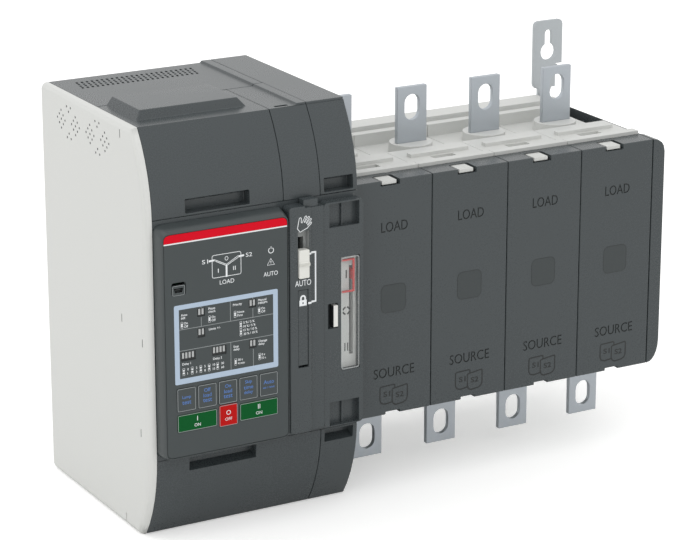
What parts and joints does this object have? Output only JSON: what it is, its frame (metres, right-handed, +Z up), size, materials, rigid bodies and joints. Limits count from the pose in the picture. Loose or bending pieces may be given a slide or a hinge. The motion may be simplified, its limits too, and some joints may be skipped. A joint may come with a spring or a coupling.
{
  "type": "automatic transfer switch",
  "caption": "Motor-driven changeover switch: housing with controller and sliders on the left, row of poles with slotted load and source terminals on the right.",
  "frame": {"origin": "on the rear mounting plane (Y = 0), at mid height (Z = 0), where the mechanism meets the pole row (X = 0)", "axes": "+X along the pole row away from the mechanism, +Y back into the mounting plate with the front facing -Y, +Z up"},
  "size_m": [0.4523, 0.1845, 0.306],
  "materials": {
    "dark_plastic": "fine moulded texture, satin",
    "panel_plastic": "smooth satin",
    "side_steel": "off-white powder coat",
    "bare_steel": "machined",
    "plated_steel": "zinc plated",
    "white_plastic": "smooth satin",
    "tinned_copper": "tin plated",
    "copper": "silver-faced copper",
    "motor_black": "black enamel",
    "board_green": "solder mask",
    "key_green": "printed membrane",
    "key_red": "printed membrane",
    "window_clear": "clear moulded window"
  },
  "bodies": {
    "housing": {"side_plate": "side_steel", "upper_cover": "dark_plastic", "middle_cover": "dark_plastic", "lower_cover": "dark_plastic", "top_plate": "dark_plastic", "bottom_plate": "dark_plastic", "upper_terminal_cover": "dark_plastic", "lower_terminal_cover": "dark_plastic", "front_fascia": "dark_plastic", "mechanism_frame": "bare_steel", "mechanism_back": "plated_steel", "mounting_plate": "plated_steel", "controller_case": "panel_plastic", "controller_face": "panel_plastic", "control_board": "board_green", "operator_panel": "dark_plastic", "indicator_panel": "dark_plastic", "indicator_window": "window_clear", "drive_motor": "motor_black", "end_cover": "dark_plastic", "pole_housing_1": "white_plastic", "pole_cover_1": "dark_plastic", "load_terminal_1": "tinned_copper", "source1_terminal_1": "tinned_copper", "source2_terminal_1": "tinned_copper", "pole_housing_2": "white_plastic", "pole_cover_2": "dark_plastic", "load_terminal_2": "tinned_copper", "source1_terminal_2": "tinned_copper", "source2_terminal_2": "tinned_copper", "pole_housing_3": "white_plastic", "pole_cover_3": "dark_plastic", "load_terminal_3": "tinned_copper", "source1_terminal_3": "tinned_copper", "source2_terminal_3": "tinned_copper", "pole_housing_4": "white_plastic", "pole_cover_4": "dark_plastic", "load_terminal_4": "tinned_copper", "source1_terminal_4": "tinned_copper", "source2_terminal_4": "tinned_copper"},
    "main_shaft": {"main_shaft": "bare_steel", "drive_gear": "bare_steel", "contact_rotor_1": "copper", "contact_rotor_2": "copper", "contact_rotor_3": "copper", "contact_rotor_4": "copper"},
    "motor_pinion": {"motor_pinion": "bare_steel"},
    "position_pointer": {"position_pointer": "key_red"},
    "mode_slider": {"mode_slider": "white_plastic"},
    "padlock_slide": {"padlock_slide": "panel_plastic"},
    "release_tab": {"release_tab": "dark_plastic"},
    "interlock_tab": {"interlock_tab": "white_plastic"},
    "menu_key_1": {"menu_key_1": "panel_plastic"},
    "menu_key_2": {"menu_key_2": "panel_plastic"},
    "menu_key_3": {"menu_key_3": "panel_plastic"},
    "menu_key_4": {"menu_key_4": "panel_plastic"},
    "menu_key_5": {"menu_key_5": "panel_plastic"},
    "on_1_key": {"on_1_key": "key_green"},
    "off_key": {"off_key": "key_red"},
    "on_2_key": {"on_2_key": "key_green"}
  },
  "joints": [
    {"name": "shaft_turn", "type": "hinge", "parent": "housing", "child": "main_shaft", "pos_m": [0, -0.079, 0], "axis": [1, 0, 0], "range_deg": [0, 90]},
    {"name": "pinion_spin", "type": "hinge", "parent": "housing", "child": "motor_pinion", "pos_m": [-0.015, -0.079, 0.049], "axis": [1, 0, 0], "range_deg": [-225.5, 0]},
    {"name": "pointer_slide", "type": "slide", "parent": "housing", "child": "position_pointer", "axis": [0, 0, 1], "range_m": [-0.055, 0]},
    {"name": "mode_slider_slide", "type": "slide", "parent": "housing", "child": "mode_slider", "axis": [0, 0, 1], "range_m": [0, 0.013]},
    {"name": "padlock_slide_pull", "type": "slide", "parent": "housing", "child": "padlock_slide", "axis": [0, -1, 0], "range_m": [0, 0.016]},
    {"name": "release_tab_press", "type": "slide", "parent": "housing", "child": "release_tab", "axis": [0, 0, -1], "range_m": [0, 0.002], "stiffness_N_per_m": 300},
    {"name": "interlock_tab_slide", "type": "slide", "parent": "housing", "child": "interlock_tab", "axis": [-1, 0, 0], "range_m": [0, 0.0038]},
    {"name": "menu_key_1_press", "type": "slide", "parent": "housing", "child": "menu_key_1", "axis": [0, 1, 0], "range_m": [0, 0.0006], "stiffness_N_per_m": 1500},
    {"name": "menu_key_2_press", "type": "slide", "parent": "housing", "child": "menu_key_2", "axis": [0, 1, 0], "range_m": [0, 0.0006], "stiffness_N_per_m": 1500},
    {"name": "menu_key_3_press", "type": "slide", "parent": "housing", "child": "menu_key_3", "axis": [0, 1, 0], "range_m": [0, 0.0006], "stiffness_N_per_m": 1500},
    {"name": "menu_key_4_press", "type": "slide", "parent": "housing", "child": "menu_key_4", "axis": [0, 1, 0], "range_m": [0, 0.0006], "stiffness_N_per_m": 1500},
    {"name": "menu_key_5_press", "type": "slide", "parent": "housing", "child": "menu_key_5", "axis": [0, 1, 0], "range_m": [0, 0.0006], "stiffness_N_per_m": 1500},
    {"name": "on_1_key_press", "type": "slide", "parent": "housing", "child": "on_1_key", "axis": [0, 1, 0], "range_m": [0, 0.0006], "stiffness_N_per_m": 1500},
    {"name": "off_key_press", "type": "slide", "parent": "housing", "child": "off_key", "axis": [0, 1, 0], "range_m": [0, 0.0006], "stiffness_N_per_m": 1500},
    {"name": "on_2_key_press", "type": "slide", "parent": "housing", "child": "on_2_key", "axis": [0, 1, 0], "range_m": [0, 0.0006], "stiffness_N_per_m": 1500}
  ],
  "couplings": [
    {"joint": "pinion_spin", "follows": "shaft_turn", "ratio": -2.5},
    {"joint": "pointer_slide", "follows": "shaft_turn", "m_per_rad": -0.035}
  ]
}
